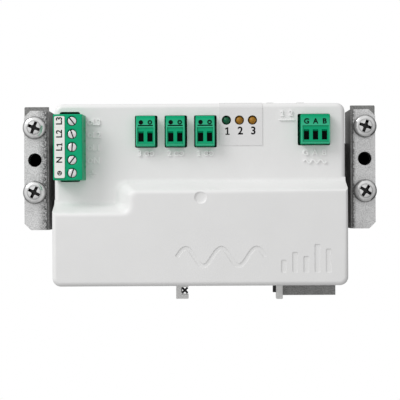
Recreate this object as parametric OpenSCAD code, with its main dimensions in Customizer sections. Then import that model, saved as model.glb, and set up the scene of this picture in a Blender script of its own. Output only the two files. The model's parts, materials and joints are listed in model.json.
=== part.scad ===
// Smart electric meter: a plastic terminal housing that hangs on a bent steel mounting plate.
// X runs right, Z up and the front faces -Y. The origin is midway between the two
// centre holes of the side flanges, on the flanges' rear face.

/* [Housing] */
// Width of the housing
body_w = 114; // [112:0.5:115]
// Height of the housing
body_h = 71; // [70.5:0.5:71.5]
// Height of the housing's lower edge below the mounting holes
body_drop = 49.5; // [49:0.5:50]
// Distance from the mounting face to the upper front surface
front_y = 17; // [16.8:0.1:17.2]
// How far the L-shaped block stands above the upper front surface
block_rise = 10; // [9:0.5:11]
// Wall thickness of the front cover and the base
wall = 2; // [1.8:0.1:2]
// Radius of the housing's corners
corner_r = 3.3; // [2:0.1:4]

/* [Raised block] */
// Foot of the slope across the middle of the front
slope_foot_z = -9.1; // [-9.5:0.1:-8.8]
// Foot of the lower slope at the left
left_foot_z = -17.6; // [-19:0.1:-17]
// Foot of the upright slope
step_foot_x = -32.7; // [-34:0.1:-32]
// Width of a slope seen from the front
slope_run = 3.7; // [3:0.1:4.5]

/* [Terminals] */
// Distance between neighbouring mains terminals
mains_pitch = 5; // [5:0.01:5.02]
// Distance between neighbouring signal terminals
signal_pitch = 3.5; // [3.5:0.01:3.52]
// Distance between neighbouring indicator lamps
led_pitch = 5.1; // [5:0.02:5.2]

/* [Brackets] */
// Distance between the two centre mounting holes
mount_spacing = 133; // [132.8:0.1:133.2]
// Radius of the centre mounting holes
mount_r = 2.75; // [2.6:0.05:2.9]
// Thickness of the steel sheet
sheet = 1.5; // [1.4:0.1:1.5]
// Height of a clamp screw above or below the mounting hole
clamp_screw_z = 13; // [12.5:0.5:13.5]

/* [Hidden] */
$fn = 48;
e = 0.01;

// Housing levels, front to rear
block_y = -(front_y + block_rise);
upper_y = -front_y;
cover_back_y = 1;
base_back_y = 16.4;
bottom_z = -body_drop;
top_z = body_h - body_drop;
side_x = body_w / 2;

// Circuit board
board_front_y = -4;
board_back_y = -2.4;

// Posts that hold cover, board and base together: [x, z, front wall's inner face]
case_posts = [[-41, 16, upper_y + wall], [51.5, -3, upper_y + wall],
              [-51.5, -44, block_y + wall], [51.5, -44, block_y + wall]];
board_posts = [[-14, -26], [28, -26]];

// Lamps and their label
led_x0 = 10.5;
led_z = 14.85;
led_hole_r = 1.85;
label_x0 = 7.7;
label_x1 = 24.6;
label_z0 = 4.9;
label_t = 0.25;

// Termination switch
switch_x0 = 29.1;
switch_x1 = 38.3;
switch_y0 = -14;
switch_y1 = -7;
lever_x = [32.0, 35.4];

// Mains plug: its five poles sit one above the other
mains_x = -49.1;
mains_z = 4.2;
mains_front_y = -26.4;
mains_head_x = [-56.4, -44.6];
mains_head_z = 12.7;
neck_x = [-53.6, -48.1];
neck_z = 12.05;
mains_opening_z = [-9.1, 18.4];

// Signal plugs: [centre x, centre z, poles, width, height]
ct_x = [-21.1, -9.5, 2.1];
ct_spec = [10.5, 2, 7.4, 11.8];
ct_gap = [0.55, 0.9];
data_x = 45.1;
data_spec = [11, 3, 11.2, 11.6];
data_gap = [1.1, 0.45];
gap_z = 0.4;
signal_front_y = -21;
signal_screw_y = -18.9;

// Steel parts
flange_x = [61, 70.8];
strip_x = [61.8, 70.8];
plate_z = [-28.2, 21.5];
web_top_z = 20;
strip_z = [-28.2, 19.9];
corner_cut = 2.6;
collar_r = 3.7;
collar_y = 4;
rail_z = [-28, 7];
rail_y = 16.5;
screw_r = 2.5;

// Rail latches: [centre x, width of the slot for the tab, end of the tab z]
latch_left = [-7.55, 5.1, -57.4];
latch_right = [32.2, 4, -57.7];
// Pull tabs: [x range]; and the black stems beside or behind them: [x range]
tab_left_x = [-10.1, -5];
tab_right_x = [31.5, 34.2];
stem_left_x = [-8.6, -7.6];
stem_right_x = [30.2, 31.5];
stem_y = [14, 16.1];
stem_end_z = -55;
tongue_rear_y = 20.4;

function row(count, pitch) = [for (i = [0:count - 1]) (i - (count - 1) / 2) * pitch];
mains_rows = row(5, mains_pitch);

// A block between two corners
module block(a, b) {
  translate(a) cube(b - a);
}

// A bar along Y between y0 and y1
module bar_y(r, y0, y1) {
  translate([0, y0, 0]) rotate([-90, 0, 0]) cylinder(r = r, h = y1 - y0);
}

// The housing's rounded outline, pulled in by d, from y0 to y1
module outline(d, y0, y1) {
  r = max(corner_r - d, 0.8);
  x = side_x - d - r;
  translate([0, y1, 0]) rotate([90, 0, 0]) linear_extrude(y1 - y0) union() {
    for (sx = [-1, 1], z = [bottom_z + d + r, top_z - d - r])
      translate([sx * x, z]) circle(r);
    translate([-x, bottom_z + d]) square([2 * x, body_h - 2 * d]);
    translate([-x - r, bottom_z + d + r]) square([2 * (x + r), body_h - 2 * (d + r)]);
  }
}

// One slope of the raised block as a prism along X, with its foot at z
module slope_prism(z, d) {
  rotate([90, 0, 90]) translate([0, 0, -side_x]) linear_extrude(body_w)
    polygon([[block_y + d, z - slope_run - d], [upper_y + d, z - d],
             [upper_y + d, bottom_z - 1], [block_y + d, bottom_z - 1]]);
}

// Everything right of the upright slope, as a prism along Z
module step_prism(d) {
  translate([0, 0, bottom_z - 1]) linear_extrude(body_h + 2)
    polygon([[step_foot_x + 1.5 * slope_run + d, block_y + d], [step_foot_x + d, upper_y + d],
             [side_x, upper_y + d], [side_x, block_y + d]]);
}

// The raised block; d pulls its faces in for the hollow inside
module raised_block(d) {
  intersection() {
    outline(d, block_y + d, upper_y + d);
    union() {
      slope_prism(left_foot_z, d);
      intersection() {
        slope_prism(slope_foot_z, d);
        step_prism(d);
      }
    }
  }
}

// A rectangular opening through the upper front wall
module front_opening(x0, x1, z0, z1) {
  block([x0, upper_y - 1, z0], [x1, upper_y + wall + 1, z1]);
}

// The opening around a signal plug, with a gap at its left and right
module signal_opening(x, spec, gap) {
  half = spec[2] / 2;
  high = spec[3] / 2 + gap_z;
  front_opening(x - half - gap[0], x + half + gap[1], spec[0] - high, spec[0] + high);
}

module front_cover() {
  rim = 0.45;
  color("whitesmoke") {
    difference() {
      union() {
        outline(0, upper_y, cover_back_y);
        raised_block(0);
        for (x = [switch_x0 - 2.8, switch_x1])
          block([x, switch_y0, top_z - 1], [x + 2.8, switch_y1, top_z + rim]);
      }
      outline(wall, upper_y + wall, cover_back_y + 1);
      raised_block(wall);
      front_opening(-54.9, -46.8, mains_opening_z[0], mains_opening_z[1]);
      for (x = ct_x) signal_opening(x, ct_spec, ct_gap);
      signal_opening(data_x, data_spec, data_gap);
      for (i = [0:2])
        translate([led_x0 + i * led_pitch, 0, led_z]) bar_y(led_hole_r, upper_y - 1, upper_y + wall + 1);
      block([switch_x0, switch_y0, top_z - wall - 1], [switch_x1, switch_y1, top_z + 1]);
      // shallow round recess in the raised face
      translate([0.2, 0, -15.4]) bar_y(2.5, block_y - 1, block_y + 0.4);
    }
    for (p = case_posts) translate([p[0], 0, p[1]]) difference() {
      bar_y(2.8, p[2] - e, board_front_y);
      bar_y(1.55, upper_y + wall + 2, board_front_y + 1);
    }
  }
}

// Channel in the rear of the base for one latch
module latch_channel(latch) {
  x = latch[0];
  block([x - 7.3, 11.9, bottom_z - 1], [x + 7.3, 15.2, -30]);
  block([x - 6.3, 11.9, bottom_z - 1], [x + 6.3, base_back_y + 1, -30]);
}

// Thick wall around the channel, and the ledge that the latch springs stand on
module latch_housing(latch) {
  x = latch[0];
  block([x - 9.3, 10, bottom_z + 0.5], [x + 9.3, base_back_y, -28.5]);
}

module latch_ledge(latch) {
  x = latch[0];
  gap = latch[1] / 2 + 0.4;
  for (s = [-1, 1])
    block([min(x + s * gap, x + s * 7.4), 11.8, bottom_z + 0.5],
          [max(x + s * gap, x + s * 7.4), base_back_y - 0.4, -47]);
}

module rear_base() {
  hook_x = [-38, 0, 38];
  color("gainsboro") {
    difference() {
      union() {
        difference() {
          outline(0.2, cover_back_y + 0.1, base_back_y);
          outline(0.2 + wall, cover_back_y, base_back_y - wall);
        }
        latch_housing(latch_left);
        latch_housing(latch_right);
        for (p = case_posts) translate([p[0], 0, p[1]]) bar_y(3.2, board_back_y, base_back_y - 1);
      }
      latch_channel(latch_left);
      latch_channel(latch_right);
      for (p = case_posts) translate([p[0], 0, p[1]]) {
        bar_y(1.7, board_back_y - 1, base_back_y + 1);
        bar_y(2.9, base_back_y - 6, base_back_y + 1);
      }
    }
    latch_ledge(latch_left);
    latch_ledge(latch_right);
    for (p = board_posts) translate([p[0], 0, p[1]]) difference() {
      bar_y(2.6, board_back_y, base_back_y - 1);
      bar_y(1.3, board_back_y - 1, base_back_y - 6);
    }
    // hooks that hang over the upper edge of the rail strip
    for (x = hook_x) {
      block([x - 5, base_back_y - 0.5, rail_z[1] + 0.3], [x + 5, tongue_rear_y, rail_z[1] + 2.6]);
      block([x - 5, rail_y + sheet + 0.3, rail_z[1] - 1.8], [x + 5, tongue_rear_y, rail_z[1] + 2.6]);
    }
  }
}

module led_label() {
  color("white") difference() {
    union() {
      block([label_x0, upper_y - label_t, label_z0], [label_x1, upper_y, top_z + label_t]);
      block([label_x0, upper_y - label_t, top_z], [label_x1, upper_y + 6, top_z + label_t]);
    }
    for (i = [0:2])
      translate([led_x0 + i * led_pitch, 0, led_z]) bar_y(led_hole_r, upper_y - 1, upper_y + 1);
  }
}

module circuit_board() {
  color("darkgreen") difference() {
    block([-54, board_front_y, -46], [54, board_back_y, 18.8]);
    for (p = concat(case_posts, board_posts))
      translate([p[0], 0, p[1]]) bar_y(1.7, board_front_y - 1, board_back_y + 1);
    pin_places(0.7);
  }
}

module board_components() {
  front = board_front_y;
  color("dimgray") {
    // filter capacitors
    for (x = [-9, 3]) translate([x, 0, -36]) bar_y(4.5, front - 14, front);
    // relay and fuse beside the transformer
    block([12, front - 11, -44], [24, front, -31]);
    block([28, front - 9, -43], [46, front, -36]);
    // processor, metering chip and bus driver
    block([-2, front - 1.2, -20], [8, front, -10]);
    block([-26, front - 1.6, -14], [-16, front, -6]);
    block([34, front - 1.6, -14], [40, front, -8]);
  }
}

module power_transformer() {
  front = board_front_y;
  color("goldenrod") {
    difference() {
      block([-46, front - 17, -43], [-20, front - 1.5, -25]);
      for (x = [-42, -30]) block([x, front - 18, -44], [x + 6, front - 12, -24]);
    }
    block([-42, front - 14.5, -45], [-24, front, -22.5]);
  }
}

// An open-fronted socket: outer and inner halves of width and height about its centre
module socket(x, z, outer, inner, y0, floor_y) {
  difference() {
    block([x - outer[0], y0, z - outer[1]], [x + outer[0], board_front_y, z + outer[1]]);
    block([x - inner[0], y0 - 1, z - inner[1]], [x + inner[0], floor_y, z + inner[1]]);
    pin_places(0.6);
  }
}

// Square pins through the board, all of half width r
module pin(x, z, r, y0, y1) {
  block([x - r, y0, z - r], [x + r, y1, z + r]);
}

module signal_pins(x, spec, r) {
  for (i = row(spec[1], signal_pitch)) pin(x + i, spec[0] - 2.2, r, -12, board_back_y + 1.6);
}

module pin_places(r) {
  for (i = mains_rows) pin((neck_x[0] + neck_x[1]) / 2, mains_z + i, r, -14, board_back_y + 1.6);
  for (x = ct_x) signal_pins(x, ct_spec, r);
  signal_pins(data_x, data_spec, r);
}

module mains_header() {
  color("seagreen") socket((neck_x[0] + neck_x[1]) / 2, mains_z, [3.75, 13.05], [3.05, 12.35], -15, -5.5);
}

module signal_header(x, spec) {
  half = spec[2] / 2;
  high = spec[3] / 2;
  color("seagreen") socket(x, spec[0], [half + 0.4, high], [half - 0.2, high - 0.6], -12.4, -5.5);
}

module header_pins() {
  color("silver") pin_places(0.5);
}

module led(number, tint) {
  x = led_x0 + (number - 1) * led_pitch;
  color(tint) translate([x, 0, led_z]) {
    translate([0, upper_y + 1.2, 0]) sphere(1.5);
    bar_y(1.5, upper_y + 1.2, -11.5);
    bar_y(1.9, -11.5, -10.5);
    for (s = [-1, 1]) block([s * 1.27 - 0.25, -10.5, -0.25], [s * 1.27 + 0.25, board_front_y, 0.25]);
  }
}

module termination_switch() {
  color("midnightblue") difference() {
    block([29.6, -13.4, 11.5], [37.8, -4, 19.1]);
    for (x = lever_x) block([x - 1.1, -12.4, 15.4], [x + 1.1, -7.6, 20]);
  }
}

module switch_lever(number) {
  x = lever_x[number - 1];
  color("white") {
    block([x - 0.85, -12.1, 15.7], [x + 0.85, -9.5, 18.4]);
    block([x - 0.6, -11.8, 18.4], [x + 0.6, -9.9, 20.9]);
  }
}

// A screw along +Y with its head at the origin; the thread runs to y = length
module screw(head_r, head_h, shank_r, length, slot_w) {
  difference() {
    union() {
      bar_y(head_r, -head_h, 0);
      bar_y(shank_r, -e, length);
    }
    block([-head_r - 1, -head_h - 1, -slot_w / 2], [head_r + 1, -head_h * 0.55, slot_w / 2]);
  }
}

module board_screws() {
  color("silver") for (p = board_posts) translate([p[0], board_front_y, p[1]]) screw(2.4, 1.6, 1.2, 8, 0.6);
}

module case_screws() {
  color("silver") for (p = case_posts)
    translate([p[0], base_back_y - 6, p[1]]) mirror([0, 1, 0]) screw(2.7, 2, 1.45, 20, 0.7);
}

// One sheet bent into two flanges, two webs and the rail strip behind the meter
module mounting_plate() {
  color("silver") difference() {
    union() {
      for (s = [-1, 1]) {
        cut_sheet(s, flange_x, plate_z, 0, corner_cut, 0.3);
        flat(s, [flange_x[0], flange_x[0] + sheet], [-sheet, rail_y + sheet], [plate_z[0], web_top_z]);
        // collar drawn back around the mounting hole
        translate([s * mount_spacing / 2, 0, 0]) bar_y(collar_r, -sheet, collar_y);
      }
      block([-flange_x[0] - sheet, rail_y, rail_z[0]], [flange_x[0] + sheet, rail_y + sheet, rail_z[1]]);
      block([34.4, rail_y, -56.4], [56.5, rail_y + sheet, rail_z[0] + e]);
    }
    clamp_holes(screw_r + 0.15, -sheet, 0);
    for (s = [-1, 1]) translate([s * mount_spacing / 2, 0, 0]) bar_y(mount_r, -sheet - 1, collar_y + 1);
  }
}

// A slab mirrored to side s, given its ranges of |x|, y and z
module flat(s, x, y, z) {
  block([min(s * x[0], s * x[1]), y[0], z[0]], [max(s * x[0], s * x[1]), y[1], z[1]]);
}

// One sheet thickness in front of y, mirrored to side s; the outer corners are cut off
module cut_sheet(s, x, z, y, low, high) {
  translate([0, y, 0]) rotate([90, 0, 0]) linear_extrude(sheet)
    polygon([[s * x[0], z[0]], [s * (x[1] - low), z[0]], [s * x[1], z[0] + low],
             [s * x[1], z[1] - high], [s * (x[1] - high), z[1]], [s * x[0], z[1]]]);
}

module clamp_holes(r, y0, y1) {
  for (s = [-1, 1], z = [-clamp_screw_z, clamp_screw_z])
    translate([s * mount_spacing / 2, 0, z]) bar_y(r, y0 - 1, y1 + 1);
}

module clamp_strip(s) {
  color("lightgray") difference() {
    cut_sheet(s, strip_x, strip_z, -sheet, corner_cut, corner_cut);
    clamp_holes(screw_r + 0.15, -2 * sheet, -sheet);
    translate([s * mount_spacing / 2, 0, 0]) bar_y(mount_r, -2 * sheet - 1, -sheet + 1);
  }
}

// Cross-recessed pan-head screws and their square nuts
module bracket_screws() {
  head_h = 3.3;
  head_r = 4.65;
  color("lightsteelblue") for (s = [-1, 1], z = [-clamp_screw_z, clamp_screw_z])
    translate([s * mount_spacing / 2, -2 * sheet, z]) difference() {
      union() {
        rotate([90, 0, 0]) cylinder(r1 = head_r, r2 = head_r - 1.2, h = head_h);
        bar_y(screw_r, -e, 9);
      }
      for (a = [0, 90]) rotate([0, a, 0]) block([-2.3, -head_h - 1, -0.45], [2.3, -head_h + 2, 0.45]);
    }
}

module bracket_nuts() {
  color("silver") for (s = [-1, 1], z = [-clamp_screw_z, clamp_screw_z])
    translate([s * mount_spacing / 2, 0, z]) difference() {
      block([-4, 0, -4], [4, 4, 4]);
      bar_y(screw_r, -1, 5);
    }
}

// A latch slides in its channel; its pull tab sticks out below the housing
module rail_latch(latch, tab_x, stem_x) {
  x = latch[0];
  notch = 2.9;
  color("lightgray") difference() {
    union() {
      block([x - 7, 12.2, -37.7], [x + 7, 14.9, -31]);
      block([x - 6, 12.2, -37.7], [x + 6, 16.1, -31]);
      block([tab_x[0], 12.2, latch[2]], [tab_x[1], 16.1, -37]);
    }
    // finger notch in the side of the wider tab
    if (tab_x[1] - tab_x[0] > 4) block([tab_x[1] - notch, 11, -55.5], [tab_x[1] + 1, 17, -52.6]);
    // seat for the tongue and groove for its stem
    block([x - 4, 14, -35.3], [x + 4, 17, -30]);
    block([stem_x[0], stem_y[0], stem_end_z], [stem_x[1], 17, -35]);
  }
}

// The tongue sits in the latch and hooks behind the rail strip's lower edge; its stem runs down the tab
module latch_tongue(x0, x1, stem_x, with_cross) {
  cross_x = -6.5;
  cross_z = -54.05;
  color("dimgray") {
    block([x0, 14, -35.3], [x1, 16.4, -30.4]);
    block([x0 + 0.3, 16.3, -33.4], [x1 - 0.3, tongue_rear_y, -30.4]);
    block([x0 + 0.3, rail_y + sheet + 0.35, -31], [x1 - 0.3, tongue_rear_y, -26.2]);
    block([stem_x[0], stem_y[0], stem_end_z], [stem_x[1], stem_y[1], -35]);
    // crossed end in the notch of the wider tab
    if (with_cross)
      for (a = [-45, 45]) translate([cross_x, 0, cross_z]) rotate([0, a, 0])
        block([-1.6, stem_y[0], -0.4], [1.6, stem_y[1], 0.4]);
  }
}

// Coil spring as a round wire swept along a helix
module coil(r, wire, height, turns) {
  sides = 6;
  steps = 14;
  n = turns * steps;
  function ring(i) = let (a = 360 * i / steps, z = wire + (height - 2 * wire) * i / n)
    [for (k = [0:sides - 1]) let (b = 360 * k / sides)
      [(r + wire * cos(b)) * cos(a), (r + wire * cos(b)) * sin(a), z + wire * sin(b)]];
  points = [for (i = [0:n]) each ring(i)];
  walls = [for (i = [0:n - 1], k = [0:sides - 1]) let (j = (k + 1) % sides)
    [i * sides + k, (i + 1) * sides + k, (i + 1) * sides + j, i * sides + j]];
  first = [for (k = [0:sides - 1]) k];
  last = [for (k = [sides - 1:-1:0]) n * sides + k];
  polyhedron(points, concat(walls, [first, last]), convexity = 8);
}

module latch_springs(latch) {
  color("silver") for (s = [-1, 1])
    translate([latch[0] + s * 5, 13.7, -46.9]) coil(1.1, 0.22, 9.1, 6);
}

module mains_plug() {
  head_z = [mains_z - mains_head_z, mains_z + mains_head_z];
  color("mediumseagreen") difference() {
    union() {
      block([mains_head_x[0], mains_front_y, head_z[0]], [mains_head_x[1], upper_y - 0.3, head_z[1]]);
      block([neck_x[0], upper_y - 1, mains_z - neck_z], [neck_x[1], -6.2, mains_z + neck_z]);
    }
    for (i = mains_rows) translate([0, 0, mains_z + i]) {
      // screw well, clamp chamber, wire entry and socket for the pin
      translate([mains_x, 0, 0]) bar_y(1.9, mains_front_y - 1, mains_front_y + 1.5);
      translate([mains_x, 0, 0]) bar_y(1.4, mains_front_y, mains_front_y + 3);
      block([mains_x - 2.2, mains_front_y + 2.3, -2.1], [mains_x + 2.2, mains_front_y + 8.5, 2.1]);
      block([mains_head_x[0] - 1, mains_front_y + 3.8, -1.7], [mains_x, mains_front_y + 6.6, 1.7]);
      block([(neck_x[0] + neck_x[1]) / 2 - 0.8, -15, -0.8], [(neck_x[0] + neck_x[1]) / 2 + 0.8, -6, 0.8]);
    }
  }
}

module marker_strip() {
  color("white") block([-55.9, mains_front_y - 0.35, -7.7], [-51.9, mains_front_y, 16.1]);
}

module mains_screw(number) {
  color("silver") translate([mains_x, mains_front_y + 1.45, mains_z + mains_rows[number - 1]])
    screw(1.65, 1.1, 1.3, 4, 0.5);
}

// A cage around the conductor; its front wall carries the screw's thread
module mains_clamp(number) {
  color("gainsboro") translate([mains_x, mains_front_y, mains_z + mains_rows[number - 1]]) difference() {
    block([-1.9, 2.6, -1.9], [1.9, 6.8, 1.9]);
    block([-3, 3.7, -1.35], [3, 6.2, 1.35]);
    bar_y(1.35, 2, 4);
  }
}

// Plug with wire entries in front and screws on its top face
module signal_plug(x, spec) {
  half = spec[2] / 2;
  high = spec[3] / 2;
  y0 = signal_front_y;
  color("mediumseagreen") translate([x, 0, spec[0]]) difference() {
    union() {
      block([-half, y0, -high], [half, -12.8, high]);
      block([-half + 0.5, -13, -high + 0.9], [half - 0.5, -6.2, high - 0.9]);
    }
    // step along the front face above the wire entries
    block([-half - 1, y0 - 1, 1.2], [half + 1, y0 + 0.7, high + 1]);
    for (i = row(spec[1], signal_pitch)) translate([i, 0, 0]) {
      block([-1.05, y0 - 1, -4.1], [1.05, y0 + 4, -0.2]);
      block([-1.5, y0 + 0.9, -4.8], [1.5, y0 + 4.9, 3.6]);
      translate([0, signal_screw_y, 0]) cylinder(r = 1.3, h = high + 1);
      block([-0.7, -14, -2.9], [0.7, -6, -1.5]);
    }
  }
}

module signal_clamps(x, spec) {
  color("gainsboro") for (i = row(spec[1], signal_pitch))
    translate([x + i, signal_screw_y, spec[0]]) difference() {
      block([-1.4, -1.1, -4.6], [1.4, 2.6, 3.4]);
      block([-1.1, -2, -4.25], [1.1, 3, -0.1]);
      translate([0, 0, -2]) cylinder(r = 0.85, h = 6);
    }
}

module signal_screw(x, spec, number) {
  high = spec[3] / 2;
  place = row(spec[1], signal_pitch)[number - 1];
  color("silver") translate([x + place, signal_screw_y, spec[0]]) difference() {
    union() {
      translate([0, 0, 3.8]) cylinder(r = 1.15, h = high - 4.2);
      translate([0, 0, 0.3]) cylinder(r = 0.8, h = 3.6);
    }
    block([-2, -0.25, high - 1.2], [2, 0.25, high + 1]);
  }
}

front_cover();
rear_base();
led_label();
circuit_board();
board_components();
power_transformer();
mains_header();
signal_header(ct_x[0], ct_spec);  // ct_header_1
signal_header(ct_x[1], ct_spec);  // ct_header_2
signal_header(ct_x[2], ct_spec);  // ct_header_3
signal_header(data_x, data_spec);  // data_header
header_pins();
led(1, "seagreen");  // led_1
led(2, "orange");  // led_2
led(3, "orange");  // led_3
termination_switch();
switch_lever(1);  // switch_lever_1
switch_lever(2);  // switch_lever_2
board_screws();
case_screws();
mounting_plate();
clamp_strip(-1);  // clamp_strip_left
clamp_strip(1);  // clamp_strip_right
bracket_screws();
bracket_nuts();
rail_latch(latch_left, tab_left_x, stem_left_x);  // rail_latch_left
rail_latch(latch_right, tab_right_x, stem_right_x);  // rail_latch_right
latch_tongue(-11.2, -3.9, stem_left_x, true);  // latch_tongue_left
latch_tongue(28.6, 34.1, stem_right_x, false);  // latch_tongue_right
latch_springs(latch_left);  // latch_springs_left
latch_springs(latch_right);  // latch_springs_right
mains_plug();
marker_strip();
signal_plug(ct_x[0], ct_spec);  // ct_plug_1
signal_plug(ct_x[1], ct_spec);  // ct_plug_2
signal_plug(ct_x[2], ct_spec);  // ct_plug_3
signal_clamps(ct_x[0], ct_spec);  // ct_clamps_1
signal_clamps(ct_x[1], ct_spec);  // ct_clamps_2
signal_clamps(ct_x[2], ct_spec);  // ct_clamps_3
signal_plug(data_x, data_spec);  // data_plug
signal_clamps(data_x, data_spec);  // data_clamps
for (i = [1:5]) {
  mains_screw(i);
  mains_clamp(i);
}
for (i = [1:6])
  signal_screw(ct_x[floor((i - 1) / 2)], ct_spec, (i - 1) % 2 + 1);
for (i = [1:3])
  signal_screw(data_x, data_spec, i);
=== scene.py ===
import json
import math

import bmesh
import bpy
from mathutils import Matrix, Vector


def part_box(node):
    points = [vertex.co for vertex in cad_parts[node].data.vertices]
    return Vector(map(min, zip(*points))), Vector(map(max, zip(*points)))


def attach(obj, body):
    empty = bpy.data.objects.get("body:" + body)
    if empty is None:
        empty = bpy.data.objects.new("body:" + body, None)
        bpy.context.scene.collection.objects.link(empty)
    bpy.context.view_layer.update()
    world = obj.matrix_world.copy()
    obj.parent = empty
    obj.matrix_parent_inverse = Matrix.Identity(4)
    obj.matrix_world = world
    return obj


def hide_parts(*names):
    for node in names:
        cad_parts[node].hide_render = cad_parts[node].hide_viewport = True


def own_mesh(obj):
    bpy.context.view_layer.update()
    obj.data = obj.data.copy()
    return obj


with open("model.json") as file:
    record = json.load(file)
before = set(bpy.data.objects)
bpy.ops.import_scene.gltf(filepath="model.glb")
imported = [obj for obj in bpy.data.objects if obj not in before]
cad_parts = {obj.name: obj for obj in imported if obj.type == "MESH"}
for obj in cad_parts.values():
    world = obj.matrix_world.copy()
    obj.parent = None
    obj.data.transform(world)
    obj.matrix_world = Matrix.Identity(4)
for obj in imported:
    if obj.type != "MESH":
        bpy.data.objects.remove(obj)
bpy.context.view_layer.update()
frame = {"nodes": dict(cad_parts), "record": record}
nodes = frame["nodes"]
MM = 0.001


# ---------------------------------------------------------------- places taken from the frame, in mm
def box_mm(node):
    """A CAD node's lowest and highest corners in millimetres."""
    low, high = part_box(node)
    return [v / MM for v in low], [v / MM for v in high]


def middle(node):
    low, high = box_mm(node)
    return [(a + b) / 2 for a, b in zip(low, high)]


COVER_LOW, COVER_HIGH = box_mm("front_cover")
LABEL_LOW, LABEL_HIGH = box_mm("led_label")
BLOCK_Y = COVER_LOW[1]
UPPER_Y = BLOCK_Y + 10.0
REAR_Y = COVER_HIGH[1]
RIM = 0.45
TOP_Z = COVER_HIGH[2] - RIM
BOTTOM_Z = COVER_LOW[2]
WALL = 2.0
CORNER_R = 3.3
LED_X = [middle(f"led_{i}")[0] for i in (1, 2, 3)]
LED_Z = middle("led_1")[2]
SCREW_X, SCREW_Z = 66.5, 13.0       # the four bracket screws sit at +-X and +-Z; the mounting holes at +-X
SCREW_R, SCREW_SEAT = 4.65, -3.0    # their heads' radius, and the Y of the strips' front faces


# ---------------------------------------------------------------- mesh helpers
def keep(obj):
    bpy.context.scene.collection.objects.link(obj)
    return obj


def from_bmesh(name, bm):
    bmesh.ops.recalc_face_normals(bm, faces=bm.faces)
    mesh = bpy.data.meshes.new(name)
    bm.to_mesh(mesh)
    bm.free()
    return keep(bpy.data.objects.new(name, mesh))


def loft(name, rings):
    """A closed solid through rings of (x, y, z) points in mm, all with as many points."""
    bm = bmesh.new()
    made = [[bm.verts.new([c * MM for c in p]) for p in ring] for ring in rings]
    count = len(rings[0])
    for a, b in zip(made, made[1:]):
        for i in range(count):
            j = (i + 1) % count
            bm.faces.new((a[i], a[j], b[j], b[i]))
    bm.faces.new(list(reversed(made[0])))
    bm.faces.new(made[-1])
    return from_bmesh(name, bm)


def prism(name, outline, y0, y1):
    """An outline of (x, z) points carried along Y."""
    return loft(name, [[(x, y0, z) for x, z in outline], [(x, y1, z) for x, z in outline]])


def box(name, low, high):
    outline = [(low[0], low[2]), (high[0], low[2]), (high[0], high[2]), (low[0], high[2])]
    return prism(name, outline, low[1], high[1])


def arc(cx, cz, r, start, end, steps=8):
    angles = [math.radians(start + (end - start) * i / steps) for i in range(steps + 1)]
    return [(cx + r * math.cos(a), cz + r * math.sin(a)) for a in angles]


def rounded(x0, x1, z0, z1, r, steps=8):
    """A rectangle with round corners, as (x, z) points."""
    return (arc(x1 - r, z1 - r, r, 0, 90, steps) + arc(x0 + r, z1 - r, r, 90, 180, steps)
            + arc(x0 + r, z0 + r, r, 180, 270, steps) + arc(x1 - r, z0 + r, r, 270, 360, steps))


def lathe(name, profile, centre, axis="y", steps=48):
    """A solid of revolution; the profile is (radius, distance along the axis), from end to end."""
    bm = bmesh.new()
    rings = []
    for r, d in profile:
        if r < 1e-6:
            rings.append([bm.verts.new(turned(0, d, 0, centre, axis))])
            continue
        rings.append([bm.verts.new(turned(r, d, 2 * math.pi * i / steps, centre, axis))
                      for i in range(steps)])
    for a, b in zip(rings, rings[1:]):
        for i in range(steps):
            j = (i + 1) % steps
            corners = [a[i % len(a)], a[j % len(a)], b[j % len(b)], b[i % len(b)]]
            bm.faces.new(list(dict.fromkeys(corners)))
    for ring in (rings[0], rings[-1]):
        if len(ring) > 1:
            bm.faces.new(ring)
    return from_bmesh(name, bm)


def turned(r, d, a, centre, axis):
    u, v = r * math.cos(a), r * math.sin(a)
    offset = (u, d, v) if axis == "y" else (u, v, d)
    return [(c + o) * MM for c, o in zip(centre, offset)]


def apply_all(obj):
    """Turns the object's modifiers into its mesh."""
    graph = bpy.context.evaluated_depsgraph_get()
    mesh = bpy.data.meshes.new_from_object(obj.evaluated_get(graph))
    old = obj.data
    obj.modifiers.clear()
    obj.data = mesh
    mesh.name = old.name
    bpy.data.meshes.remove(old)


def cut(obj, *cutters, operation="DIFFERENCE"):
    """Takes the cutters away from the object, one by one, and removes them."""
    for cutter in cutters:
        mod = obj.modifiers.new("cut", "BOOLEAN")
        mod.operation = operation
        mod.solver = "EXACT"
        mod.object = cutter
        apply_all(obj)
        bpy.data.objects.remove(cutter)
    return obj


def join(obj, *others):
    return cut(obj, *others, operation="UNION")


def clean(obj, angle=0.6):
    """Merges doubled points and flat facets, so that a bevel meets whole faces."""
    bm = bmesh.new()
    bm.from_mesh(obj.data)
    bmesh.ops.remove_doubles(bm, verts=bm.verts, dist=0.002 * MM)
    bmesh.ops.dissolve_limit(bm, angle_limit=math.radians(angle), verts=bm.verts, edges=bm.edges)
    bm.to_mesh(obj.data)
    bm.free()
    return obj


def bevel(obj, width, segments=3, angle=35):
    """Rounds the edges that turn by at least the angle."""
    bm = bmesh.new()
    bm.from_mesh(obj.data)
    edges = [edge for edge in bm.edges
             if len(edge.link_faces) == 2 and edge.calc_face_angle(0) >= math.radians(angle)]
    bmesh.ops.bevel(bm, geom=edges, offset=width * MM, offset_type="OFFSET", segments=segments,
                    profile=0.5, affect="EDGES", clamp_overlap=True, loop_slide=True)
    bmesh.ops.remove_doubles(bm, verts=bm.verts, dist=0.001 * MM)
    bm.to_mesh(obj.data)
    bm.free()
    return obj


def smooth(obj, angle=40):
    for face in obj.data.polygons:
        face.use_smooth = True
    obj.data.set_sharp_from_angle(angle=math.radians(angle))
    mod = obj.modifiers.new("even_normals", "WEIGHTED_NORMAL")
    mod.keep_sharp = True
    mod.weight = 80
    return obj


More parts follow.
